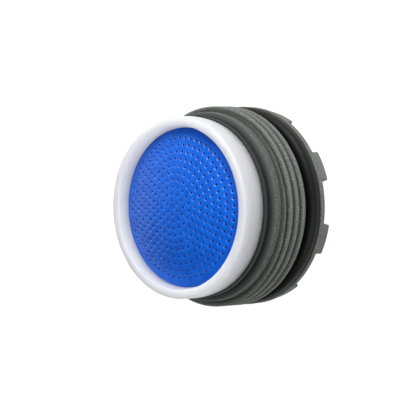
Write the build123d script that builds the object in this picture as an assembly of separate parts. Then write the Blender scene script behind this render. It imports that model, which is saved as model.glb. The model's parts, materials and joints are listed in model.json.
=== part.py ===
from build123d import *
import math
import os

# Recessed tap aerator: a threaded insert with a dome strainer, in millimetres.
# +Z runs from the outlet, where it stands on its key teeth, to the inlet dome.

# Thread and flange of the housing
thread_diameter = 21.5
thread_pitch = 1.0
thread_depth = 0.58
thread_crest_flat = 0.16
thread_flank_angle = 60.0
thread_length = 3.6
thread_lead_in = 0.45
thread_start_angle = 33.0
thread_turn = 154.0
land_drop = 0.04
land_length = 0.7
relief_depth = 1.45
relief_length = 2.4
flange_inset = 0.05
flange_thickness = 0.55
flange_round = 0.12
housing_wall = 0.9

# Neck and lip where the collar lands on the housing
neck_length = 0.7
neck_wall = 0.8
lip_length = 0.55
lip_step = 0.05
lip_round = 0.1

# Key teeth at the outlet
tooth_count = 8
tooth_angle = 18.5
tooth_height = 1.25
tooth_inset = 0.25
tooth_wall = 1.0
tooth_round = 0.15

# Sealing ring under the flange
seal_section = 1.4
seal_clearance = 0.02

# Collar, spigot and sleeve of the cartridge body
slide_clearance = 0.05
seat_step = 0.09
collar_wall = 1.19
collar_floor = 0.5
collar_outer_round = 0.3
collar_mouth_round = 0.15
collar_back_round = 0.12
collar_back_draw = 0.2
collar_belly_rise = 1.2
collar_belly_round = 4.0
recess_depth = 1.29
recess_flare = 0.25
spigot_wall = 0.8
spigot_floor = 0.3
sleeve_wall = 0.7
air_gap = 0.75
outlet_setback = 0.6
outlet_lip_width = 0.6
outlet_lip_height = 0.4
window_count = 6
window_angle = 36.0
window_height = 1.4
window_drop = 0.3
rib_width = 0.7
snap_height = 0.1
snap_width = 0.4

# Strainer dome
dome_rise = 2.0
dome_wall = 0.42
dome_skirt = 0.75
dome_clearance = 0.04
# The fine round holes are drawn fewer, wider and four-sided, which keeps the mesh light
hole_diameter = 0.5
hole_ring_count = 7
hole_edge_margin = 1.05
holes_per_ring_step = 6
hole_sides = 4
gate_mark_diameter = 0.9
gate_mark_depth = 0.08

# Flow regulator with its soft ring
regulator_flange = 0.6
regulator_drop = 0.5
regulator_floor = 0.4
core_radius = 4.0
core_rise = 0.65
channel_wall = 0.6
throttle_section = 1.5
throttle_clearance = 0.05
flow_slot_count = 8
flow_slot_radius = 0.5

# Jet splitter
splitter_height = 1.4
splitter_plate = 0.7
splitter_rim = 0.7
splitter_hole_diameter = 0.7
splitter_hole_step = 1.35
splitter_hole_rings = 2

# Lattice inserts and outlet honeycomb
insert_clearance = 0.05
insert_rim = 0.5
lattice_height = 1.5
lattice_bar = 0.4
lattice_pitch = 1.3
lattice_turn = 45.0
honeycomb_height = 1.6
cell_size = 1.25
cell_wall = 0.22
stack_clearance = 0.05

# Radii, worked inwards from the thread
thread_radius = thread_diameter / 2
root_radius = thread_radius - thread_depth
land_radius = root_radius - land_drop
relief_radius = thread_radius - relief_depth
flange_radius = thread_radius - flange_inset
bore_radius = relief_radius - housing_wall
neck_radius = bore_radius + neck_wall
spigot_radius = bore_radius - slide_clearance
spigot_bore = spigot_radius - spigot_wall
sleeve_radius = spigot_radius - air_gap
sleeve_bore = sleeve_radius - sleeve_wall
collar_bore = bore_radius + seat_step
collar_radius = collar_bore + collar_wall
lip_radius = collar_radius - lip_step
dome_radius = collar_bore - dome_clearance
insert_radius = sleeve_bore - insert_clearance

# Heights, worked upwards from the tooth tips
flange_bottom = tooth_height
flange_top = flange_bottom + flange_thickness
thread_bottom = flange_top + relief_length
thread_top = thread_bottom + thread_length
land_top = thread_top + land_length
lip_bottom = land_top + neck_length
housing_top = lip_bottom + lip_length
shelf_height = housing_top + collar_floor
skirt_bottom = shelf_height + regulator_flange
dome_edge = skirt_bottom + dome_skirt
collar_top = dome_edge + recess_depth
regulator_bottom = shelf_height - regulator_drop
splitter_top = regulator_bottom - stack_clearance
splitter_bottom = splitter_top - splitter_height
spigot_bottom = splitter_bottom - spigot_floor
honeycomb_bottom = outlet_setback + outlet_lip_height
lattice_lower_bottom = honeycomb_bottom + honeycomb_height
lattice_upper_bottom = lattice_lower_bottom + lattice_height

# Snap beads: the dome's in the collar, the spigot's in the housing
dome_snap_height = skirt_bottom + dome_skirt / 2
spigot_snap_height = (spigot_bottom + housing_top) / 2


def turned(outline, rounds=()):
    # Solid of revolution about Z from (radius, height) points, some corners rounded
    profile = make_face(Polyline(*outline, close=True))
    for corner, radius in rounds:
        profile = fillet(profile.vertices().sort_by_distance(corner)[0], radius)
    return revolve(Plane.XZ * profile, Axis.Z)


def ring_bead(wall_radius, height, width, reach):
    # Ring with a tapered section that stands out of, or cuts into, a round wall
    return turned(
        [
            (wall_radius - reach, height - width / 2),
            (wall_radius, height - width / 2),
            (wall_radius + reach, height - width / 4),
            (wall_radius + reach, height + width / 4),
            (wall_radius, height + width / 2),
            (wall_radius - reach, height + width / 2),
        ]
    )


def torus_ring(inner_radius, section, bottom):
    # Round-section ring that stands on a given height
    centre = (0, 0, bottom + section / 2)
    return Pos(*centre) * Torus(inner_radius + section / 2, section / 2)


def thread_groove():
    # One helical groove, run out past both ends of the threaded stretch
    half_flank = math.radians(thread_flank_angle / 2)
    mouth = thread_pitch - thread_crest_flat
    root = mouth - 2 * thread_depth * math.tan(half_flank)
    spare = thread_crest_flat / 4
    spare_mouth = mouth + 2 * spare * math.tan(half_flank)
    path = Helix(thread_pitch, thread_length + thread_pitch, thread_radius)
    section = make_face(
        Polyline(
            (-thread_depth, -root / 2),
            (spare, -spare_mouth / 2),
            (spare, spare_mouth / 2),
            (-thread_depth, root / 2),
            close=True,
        )
    )
    start = Plane(origin=path @ 0, x_dir=(1, 0, 0), z_dir=path % 0)
    groove = sweep(start * section, path=path, is_frenet=True)
    # The turn keeps the groove's ends off the seam of the turned walls
    return Pos(0, 0, thread_bottom - thread_pitch / 2) * Rot(0, 0, thread_start_angle) * groove


def key_tooth():
    # One tooth along +X: a block of a ring, with its tip and side edges rounded
    outer = flange_radius - tooth_inset
    ring = Circle(outer) - Circle(outer - tooth_wall)
    reach = 2 * outer
    spread = reach * math.tan(math.radians(tooth_angle / 2))
    wedge = make_face(Polyline((0, 0), (reach, -spread), (reach, spread), close=True))
    tooth = extrude(ring & wedge, tooth_height)
    sides = tooth.edges().filter_by(Axis.Z)
    tooth = fillet(sides, tooth_round)
    return fillet(tooth.edges().group_by(Axis.Z)[0], tooth_round)


def thread_ring():
    # The threaded stretch by itself, with a tapered lead-in at its inlet end
    ring = extrude(Circle(thread_radius) - Circle(bore_radius), thread_length)
    ring = Pos(0, 0, thread_bottom) * ring - thread_groove()
    outside = thread_radius + thread_depth
    lead_in = turned(
        [
            (land_radius, thread_top),
            (thread_radius, thread_top - thread_lead_in),
            (outside, thread_top - thread_lead_in),
            (outside, thread_top + thread_lead_in),
            (land_radius, thread_top + thread_lead_in),
        ]
    )
    # Turned as one, so that the crests stand where the photo shows them
    return Rot(0, 0, thread_turn) * (ring - lead_in)


def make_threaded_housing():
    flange_end = turned(
        [
            (bore_radius, flange_bottom),
            (flange_radius, flange_bottom),
            (flange_radius, flange_top),
            (relief_radius, flange_top),
            (relief_radius, thread_bottom),
            (bore_radius, thread_bottom),
        ],
        [
            ((flange_radius, flange_bottom), flange_round),
            ((flange_radius, flange_top), flange_round),
        ],
    )
    collar_end = turned(
        [
            (bore_radius, thread_top),
            (land_radius, thread_top),
            (land_radius, land_top),
            (neck_radius, land_top + neck_length / 2),
            (neck_radius, lip_bottom),
            (lip_radius, lip_bottom),
            (lip_radius, housing_top),
            (bore_radius, housing_top),
        ],
        [
            ((land_radius, land_top), lip_round),
            ((lip_radius, lip_bottom), lip_round),
            ((lip_radius, housing_top), lip_round),
        ],
    )
    body = flange_end + thread_ring() + collar_end
    snap_room = snap_width + 2 * slide_clearance
    body -= ring_bead(bore_radius, spigot_snap_height, snap_room, snap_height)
    half_step = 180 / tooth_count
    for tooth_place in PolarLocations(0, tooth_count, start_angle=half_step):
        body += tooth_place * key_tooth()
    return body


def make_flange_o_ring():
    return torus_ring(relief_radius + seal_clearance, seal_section, flange_top + seal_clearance)


def make_cartridge_body():
    recess_mouth = collar_bore + recess_flare
    collar_back = collar_radius - collar_back_draw
    belly_height = housing_top + collar_belly_rise
    body = turned(
        [
            (sleeve_bore - outlet_lip_width, outlet_setback),
            (sleeve_radius, outlet_setback),
            (sleeve_radius, spigot_bottom),
            (spigot_radius, spigot_bottom),
            (spigot_radius, housing_top),
            (collar_back, housing_top),
            (collar_radius, belly_height),
            (collar_radius, collar_top),
            (recess_mouth, collar_top),
            (collar_bore, dome_edge),
            (collar_bore, shelf_height),
            (spigot_bore, shelf_height),
            (spigot_bore, splitter_bottom),
            (sleeve_bore, splitter_bottom),
            (sleeve_bore, honeycomb_bottom),
            (sleeve_bore - outlet_lip_width, honeycomb_bottom),
        ],
        [
            ((collar_back, housing_top), collar_back_round),
            ((collar_radius, belly_height), collar_belly_round),
            ((collar_radius, collar_top), collar_outer_round),
            ((recess_mouth, collar_top), collar_mouth_round),
        ],
    )
    snap_room = snap_width + 2 * dome_clearance
    body -= ring_bead(collar_bore, dome_snap_height, snap_room, snap_height)
    body += ring_bead(spigot_radius, spigot_snap_height, snap_width, snap_height)
    window_top = spigot_bottom - window_drop
    reach = 2 * sleeve_radius
    spread = reach * math.tan(math.radians(window_angle / 2))
    wedge = make_face(Polyline((0, 0), (reach, -spread), (reach, spread), close=True))
    opening = (Circle(sleeve_radius + air_gap / 2) & wedge) - Circle(sleeve_bore / 2)
    window = Pos(0, 0, window_top - window_height) * extrude(opening, window_height)
    rib_height = spigot_bottom - outlet_setback - outlet_lip_height
    rib_reach = spigot_radius - sleeve_bore
    rib = Pos(sleeve_bore + rib_reach / 2, 0, honeycomb_bottom) * Box(
        rib_reach, rib_width, rib_height, align=(Align.CENTER, Align.CENTER, Align.MIN)
    )
    rib &= Cylinder(spigot_radius, collar_top, align=(Align.CENTER, Align.CENTER, Align.MIN))
    rib -= Cylinder(
        (sleeve_bore + sleeve_radius) / 2,
        collar_top,
        align=(Align.CENTER, Align.CENTER, Align.MIN),
    )
    half_step = 180 / window_count
    for place in PolarLocations(0, window_count):
        body -= place * window
    for place in PolarLocations(0, window_count, start_angle=half_step):
        body += place * rib
    return body


def make_strainer_dome():
    def shell_top(edge_radius, edge_height, apex_height):
        # Arc from the edge up to the apex on the axis, about the sphere's centre
        rise = apex_height - edge_height
        sphere = (edge_radius**2 + rise**2) / (2 * rise)
        half_turn = math.asin(edge_radius / sphere) / 2
        middle = (
            sphere * math.sin(half_turn),
            apex_height - sphere * (1 - math.cos(half_turn)),
        )
        return ThreePointArc((edge_radius, edge_height), middle, (0, apex_height))

    apex = dome_edge + dome_rise
    inner_radius = dome_radius - dome_wall
    outer_arc = shell_top(dome_radius, dome_edge, apex)
    inner_edge = dome_edge - dome_wall / 2
    inner_arc = shell_top(inner_radius, inner_edge, apex - dome_wall)
    axis_side = Line((0, apex - dome_wall), (0, apex))
    skirt = Polyline(
        (inner_radius, inner_edge),
        (inner_radius, skirt_bottom),
        (dome_radius, skirt_bottom),
        (dome_radius, dome_edge),
    )
    profile = make_face([outer_arc, axis_side, inner_arc, skirt])
    dome = revolve(Plane.XZ * profile, Axis.Z)
    dome += ring_bead(dome_radius, dome_snap_height, snap_width, snap_height)
    ring_pitch = (dome_radius - hole_edge_margin) / hole_ring_count
    holes = Sketch()
    for ring in range(1, hole_ring_count + 1):
        hole_count = holes_per_ring_step * ring
        stagger = 180 / hole_count * (ring % 2)
        places = PolarLocations(ring * ring_pitch, hole_count, stagger)
        holes += places * RegularPolygon(hole_diameter / 2, hole_sides)
    dome -= Pos(0, 0, skirt_bottom) * extrude(holes, apex)
    mark = Cylinder(gate_mark_diameter / 2, 2 * gate_mark_depth)
    return dome - Pos(0, 0, apex) * mark


def make_regulator_core():
    channel_inner = core_radius + 2 * throttle_clearance + throttle_section
    channel_outer = channel_inner + channel_wall
    channel_floor = regulator_bottom + regulator_floor
    flange_face = shelf_height + regulator_flange
    hub_radius = spigot_bore - slide_clearance
    core = turned(
        [
            (0, regulator_bottom),
            (hub_radius, regulator_bottom),
            (hub_radius, shelf_height),
            (collar_bore - slide_clearance, shelf_height),
            (collar_bore - slide_clearance, flange_face),
            (channel_outer, flange_face),
            (channel_outer, flange_face + core_rise),
            (channel_inner, flange_face + core_rise),
            (channel_inner, channel_floor),
            (core_radius, channel_floor),
            (core_radius, flange_face + core_rise),
            (0, flange_face + core_rise),
        ]
    )
    slots = Sketch() + PolarLocations(core_radius, flow_slot_count) * Circle(flow_slot_radius)
    return core - extrude(slots, 2 * collar_top, both=True)


def make_throttle_ring():
    floor = regulator_bottom + regulator_floor
    return torus_ring(core_radius + throttle_clearance, throttle_section, floor + stack_clearance)


def make_jet_splitter():
    outer = spigot_bore - slide_clearance
    plate_top = splitter_bottom + splitter_plate
    splitter = turned(
        [
            (0, splitter_bottom),
            (outer, splitter_bottom),
            (outer, splitter_top),
            (outer - splitter_rim, splitter_top),
            (outer - splitter_rim, plate_top),
            (0, plate_top),
        ]
    )
    holes = Sketch()
    for ring in range(splitter_hole_rings):
        ring_radius = sleeve_bore - (ring + 1) * splitter_hole_step
        hole_count = int(math.tau * ring_radius / splitter_hole_step)
        places = PolarLocations(ring_radius, hole_count)
        holes += places * Circle(splitter_hole_diameter / 2)
    return splitter - extrude(holes, 2 * collar_top, both=True)


def bar_layer(inner_radius, thickness):
    # Parallel bars that cross a round opening and end inside its rim
    reach = inner_radius + insert_rim / 2
    count = 2 * int(inner_radius / lattice_pitch) + 1
    bar = Rectangle(lattice_bar, 2 * reach)
    bars = Sketch() + GridLocations(lattice_pitch, 0, count, 1) * bar
    return extrude(bars & Circle(reach), thickness)


def make_lattice(bottom, turn):
    inner_radius = insert_radius - insert_rim
    rim = extrude(Circle(insert_radius) - Circle(inner_radius), lattice_height)
    layer = bar_layer(inner_radius, lattice_height / 2)
    insert = rim + layer + Pos(0, 0, lattice_height / 2) * Rot(0, 0, 90) * layer
    return Pos(0, 0, bottom) * Rot(0, 0, turn) * insert


def make_outlet_honeycomb():
    field_radius = insert_radius - insert_rim
    cell_radius = cell_size / math.sqrt(3)
    row_step = cell_size + cell_wall
    column_step = row_step * math.sqrt(3) / 2
    reach = math.ceil(field_radius / column_step)
    cells = Sketch()
    for column in range(-reach, reach + 1):
        for row in range(-reach, reach + 1):
            centre = Vector(column * column_step, (row + column % 2 / 2) * row_step)
            if centre.length + cell_radius / 2 < field_radius:
                cells += Pos(centre) * RegularPolygon(cell_radius, 6)
    disc = Circle(insert_radius) - (cells & Circle(field_radius))
    return Pos(0, 0, honeycomb_bottom) * extrude(disc, honeycomb_height)


pieces = {
    "strainer_dome": make_strainer_dome(),
    "regulator_core": make_regulator_core(),
    "throttle_ring": make_throttle_ring(),
    "jet_splitter": make_jet_splitter(),
    "cartridge_body": make_cartridge_body(),
    "lattice_upper": make_lattice(lattice_upper_bottom, lattice_turn),
    "lattice_lower": make_lattice(lattice_lower_bottom, 0),
    "outlet_honeycomb": make_outlet_honeycomb(),
    "threaded_housing": make_threaded_housing(),
    "flange_o_ring": make_flange_o_ring(),
}

os.makedirs("parts", exist_ok=True)
for node, piece in pieces.items():
    export_step(piece, f"parts/{node}.step")
    print(f"{node}: {piece.volume:.2f} mm3")
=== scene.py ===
import json
import math
import bpy
from mathutils import Matrix, Vector

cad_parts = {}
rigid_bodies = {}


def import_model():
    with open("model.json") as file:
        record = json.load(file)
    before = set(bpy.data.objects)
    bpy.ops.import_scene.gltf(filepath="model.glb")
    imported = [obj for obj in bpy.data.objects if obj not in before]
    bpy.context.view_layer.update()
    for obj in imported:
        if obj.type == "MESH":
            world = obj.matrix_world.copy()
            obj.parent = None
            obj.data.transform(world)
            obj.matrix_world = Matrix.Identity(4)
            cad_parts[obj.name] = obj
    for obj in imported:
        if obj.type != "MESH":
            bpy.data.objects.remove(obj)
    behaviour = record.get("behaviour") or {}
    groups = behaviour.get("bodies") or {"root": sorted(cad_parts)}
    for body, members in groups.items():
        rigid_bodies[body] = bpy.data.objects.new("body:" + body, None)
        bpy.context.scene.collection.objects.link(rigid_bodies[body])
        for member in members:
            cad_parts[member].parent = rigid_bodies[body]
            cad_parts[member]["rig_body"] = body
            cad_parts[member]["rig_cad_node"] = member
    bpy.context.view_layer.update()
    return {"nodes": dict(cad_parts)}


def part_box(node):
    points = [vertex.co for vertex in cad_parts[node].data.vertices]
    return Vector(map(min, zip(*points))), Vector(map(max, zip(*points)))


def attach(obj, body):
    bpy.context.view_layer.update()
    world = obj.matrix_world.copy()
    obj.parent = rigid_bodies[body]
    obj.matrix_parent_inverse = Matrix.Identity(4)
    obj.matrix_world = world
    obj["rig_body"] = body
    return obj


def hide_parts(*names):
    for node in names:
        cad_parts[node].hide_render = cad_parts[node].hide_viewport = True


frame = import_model()
mm = 0.001
same = 0.001  # mm, places closer than this count as one
near = 0.01  # mm, slack where faces and edges are picked by place


def hexColour(code):
    # sRGB hex to the linear values that the sockets take
    values = []
    for i in (0, 2, 4):
        v = int(code[i:i + 2], 16) / 255
        values.append(v / 12.92 if v <= 0.04045 else ((v + 0.055) / 1.055) ** 2.4)
    return (*values, 1.0)


def addNode(tree, kind, inputs=None, **settings):
    # one node, its settings, then a value or a link for each named input
    new = tree.nodes.new(kind)
    for name, value in settings.items():
        setattr(new, name, value)
    for name, value in (inputs or {}).items():
        if isinstance(value, bpy.types.NodeSocket):
            tree.links.new(value, new.inputs[name])
        else:
            new.inputs[name].default_value = value
    return new


def setStops(ramp, stops):
    # colour ramp stops, from (place, hex)
    while len(ramp.color_ramp.elements) < len(stops):
        ramp.color_ramp.elements.new(0.5)
    for element, (place, code) in zip(ramp.color_ramp.elements, stops):
        element.position = place
        element.color = hexColour(code)


def newMaterial(name):
    made = bpy.data.materials.new(name)
    made.use_nodes = True
    made.node_tree.nodes.clear()
    return made, made.node_tree


def deselectAll():
    if bpy.context.object and bpy.context.object.mode != "OBJECT":
        leaveEdit()
    bpy.ops.object.select_all(action="DESELECT")


def pick(obj):
    deselectAll()
    bpy.context.view_layer.objects.active = obj
    obj.select_set(True)


def editBy(kind):
    # edit mode, picking by VERT, EDGE or FACE
    bpy.ops.object.mode_set(mode="EDIT")
    bpy.ops.mesh.select_mode(type=kind)


def editAll():
    # edit mode with the whole mesh picked
    bpy.ops.object.mode_set(mode="EDIT")
    bpy.ops.mesh.select_all(action="SELECT")


def leaveEdit():
    bpy.ops.object.mode_set(mode="OBJECT")


def dropSelection():
    # nothing picked in the mesh, and back in object mode
    bpy.ops.object.mode_set(mode="EDIT")
    bpy.ops.mesh.select_all(action="DESELECT")
    leaveEdit()


def fromAxis(co):
    # distance from the axis, in mm
    return math.hypot(co.x, co.y) / mm


def isAt(co, x, z):
    # whether a profile's point lies at x and z, in mm
    return abs(co.x / mm - x) < same and abs(co.z / mm - z) < same


def startProfile(name, points):
    # a plane melted to one point, then drawn out along the profile in the XZ plane
    deselectAll()
    bpy.ops.mesh.primitive_plane_add(size=1 * mm)
    obj = bpy.context.object
    obj.name = name
    editAll()
    bpy.ops.mesh.merge(type="CENTER")
    first = points[0]
    bpy.ops.transform.translate(value=(first[0] * mm, 0, first[1] * mm))
    for a, b in zip(points, points[1:]):
        step = ((b[0] - a[0]) * mm, 0, (b[1] - a[1]) * mm)
        bpy.ops.mesh.extrude_vertices_move(TRANSFORM_OT_translate={"value": step})
    leaveEdit()
    return obj


def closeProfile(obj, first, last):
    # an edge between the two ends, picked by place
    dropSelection()
    for v in obj.data.vertices:
        v.select = isAt(v.co, *first) or isAt(v.co, *last)
    editBy("VERT")
    bpy.ops.mesh.edge_face_add()
    leaveEdit()


def roundCorners(obj, corners):
    # vertex bevels on the wire, each (x, z, radius, steps), picked by place
    for x, z, radius, steps in corners:
        dropSelection()
        for v in obj.data.vertices:
            v.select = isAt(v.co, x, z)
        editBy("VERT")
        bpy.ops.mesh.bevel(offset=radius * mm, offset_type="OFFSET", segments=steps,
                           affect="VERTICES", profile=0.5)
        leaveEdit()


def spinRound(obj, spans):
    # chained spins about the axis, each (degrees, steps), then the seam is merged
    pick(obj)
    editAll()
    for degrees, steps in spans:
        bpy.ops.mesh.spin(steps=steps, angle=math.radians(degrees), center=(0, 0, 0), axis=(0, 0, 1))
    bpy.ops.mesh.select_all(action="SELECT")
    bpy.ops.mesh.remove_doubles(threshold=same * mm)
    bpy.ops.mesh.normals_make_consistent(inside=False)
    bpy.ops.mesh.select_all(action="DESELECT")
    leaveEdit()


def finishPiece(obj, material, node, angle):
    # smooth below the angle, then material and body, and the CAD node it stands for is hidden
    pick(obj)
    bpy.ops.object.shade_smooth_by_angle(angle=math.radians(angle))
    bpy.ops.object.modifier_add(type="WEIGHTED_NORMAL")
    obj.modifiers[-1].keep_sharp = True
    bpy.ops.object.modifier_apply(modifier=obj.modifiers[-1].name)
    obj.data.materials.clear()
    obj.data.materials.append(material)
    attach(obj, "root")
    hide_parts(node)
    print("piece", obj.name, len(obj.data.polygons), "faces")


# Grey glass-filled nylon, moulded on a spark-eroded tool: dull, with a sandy grain and paler on the land
# and the thread's crests;
# dark in its roots and near black down in the relief, both painted shade
def makeHousingNylon():
    nylon = {
        # radius in mm and the colour there: relief, land, thread root, flank, crest; the relief's near
        # black and the root's dark are painted shade
        "tones": [(9.5, "181a1b"), (10.135, "4d514e"), (10.165, "1c1f1d"), (10.38, "323633"),
                  (10.72, "656a66")],
        # radius in mm and the share of specks there, as a grey: neck, land, root, flank, crest
        "shares": [(10.0, "000000"), (10.135, "f0f0f0"), (10.165, "404040"), (10.38, "909090"),
                   (10.72, "ffffff")],
        "insideMm": 9.3, "crestMm": 10.72, "speck": "b9beb8", "speckFrom": 0.52, "speckFull": 0.7,
        "speckMost": 0.5, "tooth": "767977", "toothTopMm": 1.2, "flangeMm": 1.35,
        "grainMm": 0.13, "grainDetail": 2.0, "grainRoughness": 0.6, "bump": 0.25, "bumpMm": 0.03,
        "roughness": 0.62, "ior": 1.53, "gloss": 0.35,
    }
    made, tree = newMaterial("grey glass-filled nylon, spark-eroded grain")
    place = addNode(tree, "ShaderNodeTexCoord").outputs["Object"]
    parts = addNode(tree, "ShaderNodeSeparateXYZ", {"Vector": place})
    flat = addNode(tree, "ShaderNodeCombineXYZ", {"X": parts.outputs["X"], "Y": parts.outputs["Y"]})
    radius = addNode(tree, "ShaderNodeVectorMath", {0: flat.outputs[0]}, operation="LENGTH")
    reach = addNode(tree, "ShaderNodeMapRange",
                    {"Value": radius.outputs["Value"], "From Min": nylon["insideMm"] * mm,
                     "From Max": nylon["crestMm"] * mm})
    spread = nylon["crestMm"] - nylon["insideMm"]
    byRadius = {}
    # the tones ramp paints shade: dark in the thread's roots, near black in the relief
    for use in ("tones", "shares"):
        ramp = addNode(tree, "ShaderNodeValToRGB", {"Fac": reach.outputs["Result"]})
        setStops(ramp, [((far - nylon["insideMm"]) / spread, code) for far, code in nylon[use]])
        byRadius[use] = ramp.outputs["Color"]
    grain = addNode(tree, "ShaderNodeTexNoise",
                    {"Vector": place, "Scale": 1 / (nylon["grainMm"] * mm),
                     "Detail": nylon["grainDetail"], "Roughness": nylon["grainRoughness"]})
    specks = addNode(tree, "ShaderNodeMapRange",
                     {"Value": grain.outputs["Fac"], "From Min": nylon["speckFrom"],
                      "From Max": nylon["speckFull"], "To Max": nylon["speckMost"]})
    rubbed = addNode(tree, "ShaderNodeMath",
                     {0: specks.outputs["Result"], 1: byRadius["shares"]}, operation="MULTIPLY")
    # sockets 6 and 7 are the mix node's two colours
    speckled = addNode(tree, "ShaderNodeMix", {0: rubbed.outputs[0], 6: byRadius["tones"],
                                               7: hexColour(nylon["speck"])}, data_type="RGBA")
    # the teeth stay one even tone, without specks or painted shade
    above = addNode(tree, "ShaderNodeMapRange",
                    {"Value": parts.outputs["Z"], "From Min": nylon["toothTopMm"] * mm,
                     "From Max": nylon["flangeMm"] * mm})
    colour = addNode(tree, "ShaderNodeMix", {0: above.outputs["Result"], 6: hexColour(nylon["tooth"]),
                                             7: speckled.outputs[2]}, data_type="RGBA")
    bump = addNode(tree, "ShaderNodeBump", {"Height": grain.outputs["Fac"], "Strength": nylon["bump"],
                                            "Distance": nylon["bumpMm"] * mm})
    shader = addNode(tree, "ShaderNodeBsdfPrincipled",
                     {"Base Color": colour.outputs[2], "Roughness": nylon["roughness"],
                      "IOR": nylon["ior"], "Specular IOR Level": nylon["gloss"],
                      "Normal": bump.outputs["Normal"]})
    addNode(tree, "ShaderNodeOutputMaterial", {"Surface": shader.outputs["BSDF"]})
    return made


# Blue polypropylene, moulded satin: strong even colour with a soft sheen, and bright glints on the hole
# rims, which the mould's pins left smooth
def makeDomePolypropylene():
    blue = {
        "tones": [(0.4, "0058c9"), (0.65, "0861d4")], "cloudMm": 1.2, "cloudDetail": 3.0,
        # the real grain is finer, and this is as coarse as it needs to show
        "grainMm": 0.12, "grainDetail": 2.0, "bump": 0.15, "bumpMm": 0.02,
        "roughness": 0.4, "ior": 1.49, "gloss": 0.18, "rimRoughness": 0.2,
    }
    made, tree = newMaterial("blue polypropylene, satin moulded")
    place = addNode(tree, "ShaderNodeTexCoord").outputs["Object"]
    cloud = addNode(tree, "ShaderNodeTexNoise", {"Vector": place, "Scale": 1 / (blue["cloudMm"] * mm),
                                                 "Detail": blue["cloudDetail"]})
    grain = addNode(tree, "ShaderNodeTexNoise", {"Vector": place, "Scale": 1 / (blue["grainMm"] * mm),
                                                 "Detail": blue["grainDetail"]})
    tone = addNode(tree, "ShaderNodeValToRGB", {"Fac": cloud.outputs["Fac"]})
    setStops(tone, blue["tones"])
    bump = addNode(tree, "ShaderNodeBump", {"Height": grain.outputs["Fac"], "Strength": blue["bump"],
                                            "Distance": blue["bumpMm"] * mm})
    rim = addNode(tree, "ShaderNodeAttribute", attribute_name="rim").outputs["Fac"]
    shader = addNode(tree, "ShaderNodeBsdfPrincipled",
                     {"Base Color": tone.outputs["Color"], "Roughness": blue["roughness"],
                      "IOR": blue["ior"], "Specular IOR Level": blue["gloss"],
                      "Normal": bump.outputs["Normal"],
                      "Coat Weight": rim, "Coat Roughness": blue["rimRoughness"]})
    addNode(tree, "ShaderNodeOutputMaterial", {"Surface": shader.outputs["BSDF"]})
    return made


# Acetal, moulded satin: milky white, painted greyer towards the collar's back edge as shade; light goes
# deep in and comes out again, which lifts the shaded wall inside the rim
def makeAcetal(name, look):
    milky = {
        "cloudMm": 3.0, "cloudDetail": 3.0, "cloudShare": 0.12, "backMm": 9.7, "fadeMm": 2.5,
        # the real grain is finer, and this is as coarse as it needs to show
        "grainMm": 0.2, "grainDetail": 2.0, "bump": 0.12, "bumpMm": 0.02,
        "ior": 1.48, "scatter": 1.0, "scatterRadius": (1, 1, 1), "depthMm": 5.5,
    }
    made, tree = newMaterial(name)
    place = addNode(tree, "ShaderNodeTexCoord").outputs["Object"]
    cloud = addNode(tree, "ShaderNodeTexNoise", {"Vector": place, "Scale": 1 / (milky["cloudMm"] * mm),
                                                 "Detail": milky["cloudDetail"]})
    grain = addNode(tree, "ShaderNodeTexNoise", {"Vector": place, "Scale": 1 / (milky["grainMm"] * mm),
                                                 "Detail": milky["grainDetail"]})
    # tone by the distance from the back edge's height, made a little uneven; on the collar the tone paints
    # shade at the back edge
    parts = addNode(tree, "ShaderNodeSeparateXYZ", {"Vector": place})
    above = addNode(tree, "ShaderNodeMath",
                    {0: parts.outputs["Z"], 1: milky["backMm"] * mm}, operation="SUBTRACT")
    away = addNode(tree, "ShaderNodeMath", {0: above.outputs[0]}, operation="ABSOLUTE")
    share = addNode(tree, "ShaderNodeMath",
                    {0: away.outputs[0], 1: milky["fadeMm"] * mm}, operation="DIVIDE")
    uneven = addNode(tree, "ShaderNodeMath",
                     {0: cloud.outputs["Fac"], 1: milky["cloudShare"], 2: share.outputs[0]},
                     operation="MULTIPLY_ADD")
    tone = addNode(tree, "ShaderNodeValToRGB", {"Fac": uneven.outputs[0]})
    setStops(tone, look["tones"])
    bump = addNode(tree, "ShaderNodeBump", {"Height": grain.outputs["Fac"], "Strength": milky["bump"],
                                            "Distance": milky["bumpMm"] * mm})
    shader = addNode(tree, "ShaderNodeBsdfPrincipled",
                     {"Base Color": tone.outputs["Color"], "Roughness": look["roughness"],
                      "IOR": milky["ior"], "Subsurface Weight": milky["scatter"],
                      "Subsurface Radius": milky["scatterRadius"],
                      "Subsurface Scale": milky["depthMm"] * mm, "Normal": bump.outputs["Normal"]})
    addNode(tree, "ShaderNodeOutputMaterial", {"Surface": shader.outputs["BSDF"]})
    return made


# Black nitrile rubber, moulded: near black with a soft broad sheen
def makeSealNitrile():
    rubber = {
        "tones": [(0.45, "0f0f10"), (0.7, "1a1a1b")],
        # the real grain is finer, and this is as coarse as it needs to show
        "grainMm": 0.12, "grainDetail": 2.0, "bump": 0.2, "bumpMm": 0.02,
        "roughness": 0.45, "ior": 1.52, "gloss": 0.16,
    }
    made, tree = newMaterial("black nitrile rubber, moulded")
    place = addNode(tree, "ShaderNodeTexCoord").outputs["Object"]
    grain = addNode(tree, "ShaderNodeTexNoise", {"Vector": place, "Scale": 1 / (rubber["grainMm"] * mm),
                                                 "Detail": rubber["grainDetail"]})
    tone = addNode(tree, "ShaderNodeValToRGB", {"Fac": grain.outputs["Fac"]})
    setStops(tone, rubber["tones"])
    bump = addNode(tree, "ShaderNodeBump", {"Height": grain.outputs["Fac"], "Strength": rubber["bump"],
                                            "Distance": rubber["bumpMm"] * mm})
    shader = addNode(tree, "ShaderNodeBsdfPrincipled",
                     {"Base Color": tone.outputs["Color"], "Roughness": rubber["roughness"],
                      "IOR": rubber["ior"], "Specular IOR Level": rubber["gloss"],
                      "Normal": bump.outputs["Normal"]})
    addNode(tree, "ShaderNodeOutputMaterial", {"Surface": shader.outputs["BSDF"]})
    return made


# collar tones: grey at the back edge is painted shade, the bluer tone up the side is painted cool light,
# and the face is the white's own tone
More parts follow.
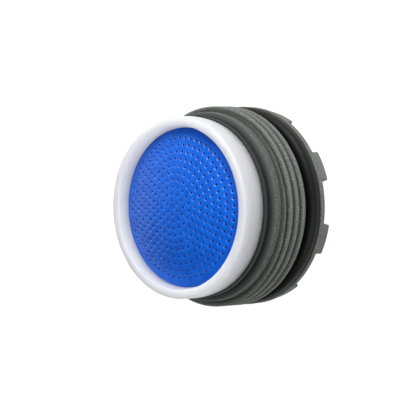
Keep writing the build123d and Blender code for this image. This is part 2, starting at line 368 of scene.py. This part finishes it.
collarLook = {"tones": [(0.0, "bac3cc"), (0.7, "eaf1f9"), (1.0, "f0f2f5")], "roughness": 0.4}
innerLook = {"tones": [(0.0, "cfd0cc"), (1.0, "dcdcd8")], "roughness": 0.45}
housingNylon = makeHousingNylon()
domePolypropylene = makeDomePolypropylene()
collarAcetal = makeAcetal("white acetal, satin moulded", collarLook)
innerAcetal = makeAcetal("natural acetal, satin moulded", innerLook)
sealNitrile = makeSealNitrile()
print("materials made")


housing = {
    # radii, then heights, in mm
    "bore": 8.4, "relief": 9.3, "flange": 10.7, "land": 10.13, "neck": 9.2, "lip": 9.63,
    "flangeLow": 1.25, "flangeTop": 1.8, "threadLow": 4.2, "threadTop": 7.8, "landLow": 7.82,
    "landTop": 8.5, "neckLow": 8.85, "neckTop": 9.2, "top": 9.75,
    # edge rounds in mm, with their steps
    "flangeRound": 0.12, "flangeSteps": 3, "landRound": 0.12, "lipRound": 0.08, "topRound": 0.1,
    "edgeSteps": 2,
    # key teeth in mm and degrees, with the steps of the spin over a tooth and over a gap
    "toothIn": 9.45, "toothOut": 10.45, "toothHeight": 1.25, "toothRound": 0.15, "toothRoundSteps": 3,
    "toothCount": 8, "toothAngle": 18.5, "endSlack": 0.2, "toothSteps": 8, "gapSteps": 12,
    # thread in mm; the crest's flat and the flank are shares of half a pitch
    "crest": 10.75, "root": 10.17, "pitch": 1.0, "leadIn": 0.45, "crestAtX": 4.68,
    "crestFlat": 0.26, "flankShare": 0.6, "threadRows": 72, "smoothAngle": 35,
}


def threadRadius(angle, z):
    # right-hand thread with flat crests and soft flanks, tapered to the land at the inlet end
    h = housing
    turn = (z - h["crestAtX"]) / h["pitch"] - angle / (2 * math.pi)
    fromCrest = abs(turn - round(turn)) * 2  # 0 on a crest, 1 in a root
    flank = min(max((fromCrest - h["crestFlat"]) / h["flankShare"], 0.0), 1.0)
    flank = flank * flank * (3 - 2 * flank)
    radius = h["crest"] - (h["crest"] - h["root"]) * flank
    leadStart = h["threadTop"] - h["leadIn"]
    if z > leadStart:
        cone = h["crest"] - (z - leadStart) / h["leadIn"] * (h["crest"] - h["land"])
        radius = min(radius, cone)
    return max(radius, h["land"])


def fromTooth(co):
    # degrees from the middle of the nearest tooth
    step = 360 / housing["toothCount"]
    return abs(math.degrees(math.atan2(co.y, co.x)) % step - step / 2)


def cutThreadRows(obj):
    # the long outer edge of the profile is the thread's
    h = housing
    dropSelection()
    for e in obj.data.edges:
        a, b = [obj.data.vertices[i] for i in e.vertices]
        outside = min(a.co.x, b.co.x) / mm > h["relief"] + near
        if outside and abs(a.co.z - b.co.z) / mm > (h["threadTop"] - h["threadLow"]) / 2:
            e.select = a.select = b.select = True
    editBy("EDGE")
    bpy.ops.mesh.subdivide(number_cuts=h["threadRows"])
    leaveEdit()


def turnHousing(obj):
    # the spans of the spin stop at each tooth's sides
    h = housing
    gap = 360 / h["toothCount"] - h["toothAngle"]
    halfGap = (gap / 2, h["gapSteps"] // 2)
    spans = [halfGap]
    for i in range(h["toothCount"]):
        spans.append((h["toothAngle"], h["toothSteps"]))
        spans.append((gap, h["gapSteps"]) if i < h["toothCount"] - 1 else halfGap)
    spinRound(obj, spans)
    print("housing turned", len(obj.data.polygons), "faces")


def drawTeeth(obj):
    # key teeth drawn down from the underside
    h = housing
    dropSelection()
    for f in obj.data.polygons:
        under = abs(f.center.z / mm - h["flangeLow"]) < near
        inRing = h["toothIn"] < fromAxis(f.center) < h["toothOut"]
        f.select = under and inRing and fromTooth(f.center) < h["toothAngle"] / 2
    editBy("FACE")
    bpy.ops.mesh.extrude_region_move(TRANSFORM_OT_translate={"value": (0, 0, -h["toothHeight"] * mm)})
    leaveEdit()


def roundTeeth(obj):
    # each tooth's tip and its upright corners
    h = housing
    dropSelection()
    for e in obj.data.edges:
        a, b = [obj.data.vertices[i].co for i in e.vertices]
        low = min(a.z, b.z) / mm < near
        rise = abs(a.z - b.z) / mm
        upright = rise > h["toothHeight"] / 2 and max(a.z, b.z) / mm < h["flangeLow"] + near
        flat = rise < same
        along = abs(fromAxis(a) - fromAxis(b)) < same
        atEnd = abs(fromTooth(a) - h["toothAngle"] / 2) < h["endSlack"]
        if low and ((upright and atEnd) or (flat and (along or atEnd))):
            e.select = True
    editBy("EDGE")
    bpy.ops.mesh.bevel(offset=h["toothRound"] * mm, segments=h["toothRoundSteps"], profile=0.5,
                       affect="EDGES", clamp_overlap=True)
    leaveEdit()


def raiseThread(obj):
    # row by row, each point out to the thread's radius there
    h = housing
    for v in obj.data.vertices:
        z = v.co.z / mm
        onThread = h["threadLow"] - same < z < h["threadTop"] + same
        if onThread and fromAxis(v.co) > h["root"] - near:
            angle = math.atan2(v.co.y, v.co.x)
            wanted = threadRadius(angle, z) * mm
            v.co.x, v.co.y = wanted * math.cos(angle), wanted * math.sin(angle)


def makeHousing():
    h = housing
    points = [
        (h["bore"], h["flangeLow"]), (h["toothIn"], h["flangeLow"]), (h["toothOut"], h["flangeLow"]),
        (h["flange"], h["flangeLow"]), (h["flange"], h["flangeTop"]), (h["relief"], h["flangeTop"]),
        (h["relief"], h["threadLow"]), (h["root"], h["threadLow"]), (h["root"], h["threadTop"]),
        (h["land"], h["landLow"]), (h["land"], h["landTop"]), (h["neck"], h["neckLow"]),
        (h["neck"], h["neckTop"]), (h["lip"], h["neckTop"]), (h["lip"], h["top"]), (h["bore"], h["top"]),
    ]
    obj = startProfile("threaded_housing_moulding", points)
    closeProfile(obj, points[0], points[-1])
    roundCorners(obj, [
        (h["flange"], h["flangeLow"], h["flangeRound"], h["flangeSteps"]),
        (h["flange"], h["flangeTop"], h["flangeRound"], h["flangeSteps"]),
        (h["land"], h["landTop"], h["landRound"], h["edgeSteps"]),
        (h["lip"], h["neckTop"], h["lipRound"], h["edgeSteps"]),
        (h["lip"], h["top"], h["topRound"], h["edgeSteps"]),
    ])
    cutThreadRows(obj)
    turnHousing(obj)
    drawTeeth(obj)
    roundTeeth(obj)
    raiseThread(obj)
    finishPiece(obj, housingNylon, "threaded_housing", angle=h["smoothAngle"])


makeHousing()


dome = {
    # mm
    "radius": 8.45, "edge": 11.6, "skirtLow": 10.85, "rise": 2.0, "wall": 0.42, "plate": 8.03,
    "beadReach": 0.1, "beadMiddle": 11.225, "beadWidth": 0.4,
    # rings of holes, each with holesPerStep more than the ring inside it
    "rings": 10, "ringStep": 0.74, "holesPerStep": 6, "hole": 0.22, "holePoints": 8, "rim": 0.15,
    "edgePoints": 144,
    # a face is part of a rim where its normal's z lies between these
    "rimSteep": 0.1, "rimFlat": 0.97,
    # mark of the mould's gate, in the middle of the top
    "gateReach": 0.5, "gateFlat": 0.9, "gateInset": 0.08, "gateDepth": 0.06,
    # slack for picking the plate's rims, and the angles for flat fills and for smoothing
    "ringSlack": 0.02, "heightSlack": 0.05, "fillAngle": 1, "smoothAngle": 40,
}
plateReach = dome["plate"] - dome["rim"]  # where the plate's flat part ends


def domeHeight(far):
    # outer surface of the dome at a distance from the axis, both in mm
    sphere = (dome["radius"] ** 2 + dome["rise"] ** 2) / (2 * dome["rise"])
    return dome["edge"] + dome["rise"] - sphere + math.sqrt(sphere ** 2 - far ** 2)


def onPlateRim(co, height):
    # whether a point lies on the plate's rim at a height, in mm
    return (abs(fromAxis(co) - plateReach) < dome["ringSlack"]
            and abs(co.z / mm - height) < dome["heightSlack"])


def growLoop(steps):
    # draws the picked edge loop on through (radius, height) steps, starting from the first
    for (r0, z0), (r1, z1) in zip(steps, steps[1:]):
        bpy.ops.mesh.extrude_edges_move(TRANSFORM_OT_translate={"value": (0, 0, (z1 - z0) * mm)})
        bpy.ops.transform.resize(value=(r1 / r0, r1 / r0, 1), center_override=(0, 0, 0))


def editLoops():
    # edit mode, with the edges between the picked points picked
    editBy("VERT")
    bpy.ops.mesh.select_mode(type="EDGE")


def addRing(curve, x, y, radius, count, turn):
    # closed ring of straight steps round (x, y)
    spline = curve.splines.new("POLY")
    spline.points.add(count - 1)
    for i, point in enumerate(spline.points):
        a = turn + 2 * math.pi * i / count
        point.co = (x + radius * math.cos(a), y + radius * math.sin(a), 0, 1)
    spline.use_cyclic_u = True


def makePlate():
    # flat perforated plate from a filled curve, its hole rims rounded by the bevel
    d = dome
    deselectAll()
    bpy.ops.curve.primitive_bezier_circle_add(radius=1 * mm)
    bpy.context.object.name = "strainer_dome_shell"
    curve = bpy.context.object.data
    curve.splines.clear()
    curve.dimensions = "2D"
    curve.fill_mode = "BOTH"
    curve.bevel_depth = d["rim"] * mm
    curve.bevel_resolution = 1
    curve.extrude = (d["wall"] / 2 - d["rim"]) * mm
    curve.offset = -d["rim"] * mm
    addRing(curve, 0, 0, d["plate"] * mm, d["edgePoints"], 0)
    for ring in range(1, d["rings"] + 1):
        count = d["holesPerStep"] * ring
        stagger = (ring % 2) * math.pi / count
        far = ring * d["ringStep"] * mm
        for i in range(count):
            a = 2 * math.pi * i / count + stagger
            addRing(curve, far * math.cos(a), far * math.sin(a), d["hole"] / 2 * mm, d["holePoints"], a)
    bpy.ops.object.convert(target="MESH")
    editAll()
    bpy.ops.mesh.remove_doubles(threshold=same * mm)
    # no long thin triangles on the flats
    bpy.ops.mesh.beautify_fill(angle_limit=math.radians(d["fillAngle"]))
    leaveEdit()
    return bpy.context.object


def markRims(obj):
    # the rounded rims are marked for the material
    rims = obj.data.attributes.new("rim", "FLOAT", "FACE")
    for f in obj.data.polygons:
        rims.data[f.index].value = 1.0 if dome["rimSteep"] < f.normal.z < dome["rimFlat"] else 0.0


def pressGate(obj):
    # shallow gate mark in the middle of the top
    dropSelection()
    for f in obj.data.polygons:
        f.select = f.normal.z > dome["gateFlat"] and fromAxis(f.center) < dome["gateReach"]
    editBy("FACE")
    bpy.ops.mesh.inset(thickness=dome["gateInset"] * mm)
    bpy.ops.transform.translate(value=(0, 0, -dome["gateDepth"] * mm))
    leaveEdit()


def openEdge(obj):
    # the plate's edge wall comes off, for the skirt to join on
    dropSelection()
    points = obj.data.vertices
    for f in obj.data.polygons:
        f.select = all(fromAxis(points[i].co) > plateReach - dome["ringSlack"] for i in f.vertices)
    editBy("FACE")
    bpy.ops.mesh.delete(type="FACE")
    leaveEdit()


def growSkirt(obj):
    # skirt with its snap bead, drawn down from the top rim and closed to the lower one
    d = dome
    top = domeHeight(plateReach)
    bead, half = d["radius"] + d["beadReach"], d["beadWidth"] / 2
    dropSelection()
    for v in obj.data.vertices:
        v.select = onPlateRim(v.co, top)
    editLoops()
    growLoop([(plateReach, top), (d["radius"], d["edge"]), (d["radius"], d["beadMiddle"] + half),
              (bead, d["beadMiddle"] + half / 2), (bead, d["beadMiddle"] - half / 2),
              (d["radius"], d["beadMiddle"] - half), (d["radius"], d["skirtLow"]),
              (d["plate"], d["skirtLow"]), (d["plate"], d["edge"] - d["wall"] / 2)])
    leaveEdit()
    # the skirt's last loop is still picked, and the lower rim joins it
    for v in obj.data.vertices:
        if onPlateRim(v.co, top - d["wall"]):
            v.select = True
    editLoops()
    bpy.ops.mesh.bridge_edge_loops()
    bpy.ops.mesh.select_all(action="SELECT")
    bpy.ops.mesh.normals_make_consistent(inside=False)
    leaveEdit()


def makeDome():
    obj = makePlate()
    markRims(obj)
    pressGate(obj)
    openEdge(obj)
    # domed over the sphere
    for v in obj.data.vertices:
        v.co.z += (domeHeight(fromAxis(v.co)) - dome["wall"] / 2) * mm
    growSkirt(obj)
    finishPiece(obj, domePolypropylene, "strainer_dome", angle=dome["smoothAngle"])


makeDome()


oRing = {"aroundSteps": 168, "sectionSteps": 32, "ridge": 0.02, "smoothAngle": 60}


def makeORing():
    deselectAll()
    lowest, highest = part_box("flange_o_ring")
    section = highest.z - lowest.z
    middle = (lowest.z + highest.z) / 2
    bpy.ops.mesh.primitive_torus_add(location=(0, 0, middle), major_radius=highest.x - section / 2,
                                     minor_radius=section / 2, major_segments=oRing["aroundSteps"],
                                     minor_segments=oRing["sectionSteps"])
    obj = bpy.context.object
    obj.name = "flange_o_ring_seal"
    bpy.ops.object.transform_apply(location=True, rotation=True, scale=True)
    # fine flash ridge where the mould halves met
    dropSelection()
    for v in obj.data.vertices:
        v.select = fromAxis(v.co) > highest.x / mm - same
    bpy.ops.object.mode_set(mode="EDIT")
    grow = 1 + oRing["ridge"] * mm / highest.x
    bpy.ops.transform.resize(value=(grow, grow, 1), center_override=(0, 0, middle))
    leaveEdit()
    finishPiece(obj, sealNitrile, "flange_o_ring", angle=oRing["smoothAngle"])


makeORing()


collar = {"mergeMm": 0.0005, "smoothAngle": 30}


def makeCollar():
    # the solid's own shape, as a copy with its triangles merged
    deselectAll()
    source = frame["nodes"]["cartridge_body"]
    obj = source.copy()
    obj.data = source.data.copy()
    obj.name = "cartridge_body_moulding"
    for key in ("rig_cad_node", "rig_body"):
        if key in obj:
            del obj[key]
    obj.parent = None
    bpy.context.scene.collection.objects.link(obj)
    pick(obj)
    editAll()
    bpy.ops.mesh.remove_doubles(threshold=collar["mergeMm"] * mm)
    leaveEdit()
    finishPiece(obj, collarAcetal, "cartridge_body", angle=collar["smoothAngle"])


makeCollar()


innerMaterials = {
    "regulator_core": innerAcetal, "jet_splitter": innerAcetal, "lattice_upper": innerAcetal,
    "lattice_lower": innerAcetal, "outlet_honeycomb": innerAcetal, "throttle_ring": sealNitrile,
}
for name, material in innerMaterials.items():
    mesh = frame["nodes"][name].data
    mesh.materials.clear()
    mesh.materials.append(material)
print("inner nodes painted")


floor = {"size": 4.0, "colour": "909090", "glow": 0.92, "dropMm": 0.02}


def makeFloor():
    # white where it is seen or mirrored, and grey for the light that it throws back
    made, tree = newMaterial("pale studio floor")
    path = addNode(tree, "ShaderNodeLightPath")
    mirrored = addNode(tree, "ShaderNodeMath",
                       {0: path.outputs["Is Glossy Ray"], 1: path.outputs["Is Transmission Ray"]},
                       operation="MAXIMUM")
    seen = addNode(tree, "ShaderNodeMath",
                   {0: path.outputs["Is Camera Ray"], 1: mirrored.outputs[0]}, operation="MAXIMUM")
    matt = addNode(tree, "ShaderNodeBsdfDiffuse", {"Color": hexColour(floor["colour"])})
    glow = addNode(tree, "ShaderNodeEmission", {"Color": hexColour("ffffff"), "Strength": floor["glow"]})
    both = addNode(tree, "ShaderNodeAddShader", {0: matt.outputs[0], 1: glow.outputs[0]})
    surface = addNode(tree, "ShaderNodeMixShader",
                      {0: seen.outputs[0], 1: matt.outputs[0], 2: both.outputs[0]})
    addNode(tree, "ShaderNodeOutputMaterial", {"Surface": surface.outputs[0]})
    deselectAll()
    bpy.ops.mesh.primitive_plane_add(size=floor["size"], location=(0, 0, -floor["dropMm"] * mm))
    obj = bpy.context.object
    obj.name = "studio_floor"
    obj.data.materials.append(made)


# metres and watts, all aimed at the middle of the part
lamps = {
    "key softbox": {"place": (0.13, 0.37, 0.25), "size": 0.4, "power": 2.1},
    "side softbox": {"place": (0.32, -0.2, 0.26), "size": 0.4, "power": 0.92},
    "left softbox": {"place": (-0.34, 0.05, 0.1), "size": 0.3, "power": 0.22},
}
lampAim = Vector((0, 0, 6 * mm))


def addLamp(name, settings):
    deselectAll()
    bpy.ops.object.light_add(type="AREA", location=settings["place"])
    lamp = bpy.context.object
    lamp.name = name
    lamp.data.shape = "DISK"
    lamp.data.size = settings["size"]
    lamp.data.energy = settings["power"]
    back = lamp.location - lampAim
    lamp.rotation_euler = back.to_track_quat("Z", "Y").to_euler()


# strength of the room's light from the photo's bottom and from its top
room = {"low": 0.04, "high": 0.66}


def makeRoom():
    # white room round the object, brighter towards +Y, which is up in the photo
    world = bpy.data.worlds.new("soft studio room")
    bpy.context.scene.world = world
    world.use_nodes = True
    tree = world.node_tree
    tree.nodes.clear()
    way = addNode(tree, "ShaderNodeTexCoord").outputs["Generated"]
    parts = addNode(tree, "ShaderNodeSeparateXYZ", {"Vector": way})
    level = addNode(tree, "ShaderNodeMapRange",
                    {"Value": parts.outputs["Y"], "From Min": -1.0, "From Max": 1.0,
                     "To Min": room["low"], "To Max": room["high"]})
    glow = addNode(tree, "ShaderNodeBackground",
                   {"Color": hexColour("ffffff"), "Strength": level.outputs["Result"]})
    addNode(tree, "ShaderNodeOutputWorld", {"Surface": glow.outputs[0]})


camera = {"tilt": 42.8, "roll": 2.0, "focalPx": 2500, "imagePx": 420, "distance": 268 * mm,
          "aimHeight": 7.72 * mm, "aimDrop": 0.364 * mm, "sensor": 36, "nearest": 0.01, "farthest": 10}


def makeCamera():
    # tilted from the part's axis towards +X, with +Y up, then rolled a little
    tilt, roll = math.radians(camera["tilt"]), math.radians(camera["roll"])
    back = Vector((math.sin(tilt), 0, math.cos(tilt)))
    across = Vector((math.cos(tilt), 0, -math.sin(tilt)))
    upward = Vector((0, 1, 0))
    right = math.cos(roll) * across - math.sin(roll) * upward
    up = math.sin(roll) * across + math.cos(roll) * upward
    aim = Vector((0, 0, camera["aimHeight"])) - camera["aimDrop"] * up
    data = bpy.data.cameras.new("photo camera")
    data.sensor_width = camera["sensor"]
    data.lens = camera["sensor"] * camera["focalPx"] / camera["imagePx"]
    data.clip_start, data.clip_end = camera["nearest"], camera["farthest"]
    obj = bpy.data.objects.new("photo camera", data)
    bpy.context.scene.collection.objects.link(obj)
    turn = Matrix((right, up, back)).transposed().to_4x4()
    obj.matrix_world = Matrix.Translation(aim + back * camera["distance"]) @ turn
    bpy.context.scene.camera = obj


makeRoom()
makeFloor()
for name, settings in lamps.items():
    addLamp(name, settings)
makeCamera()
bpy.context.scene.view_settings.view_transform = "Standard"
print("stage, light and camera set")
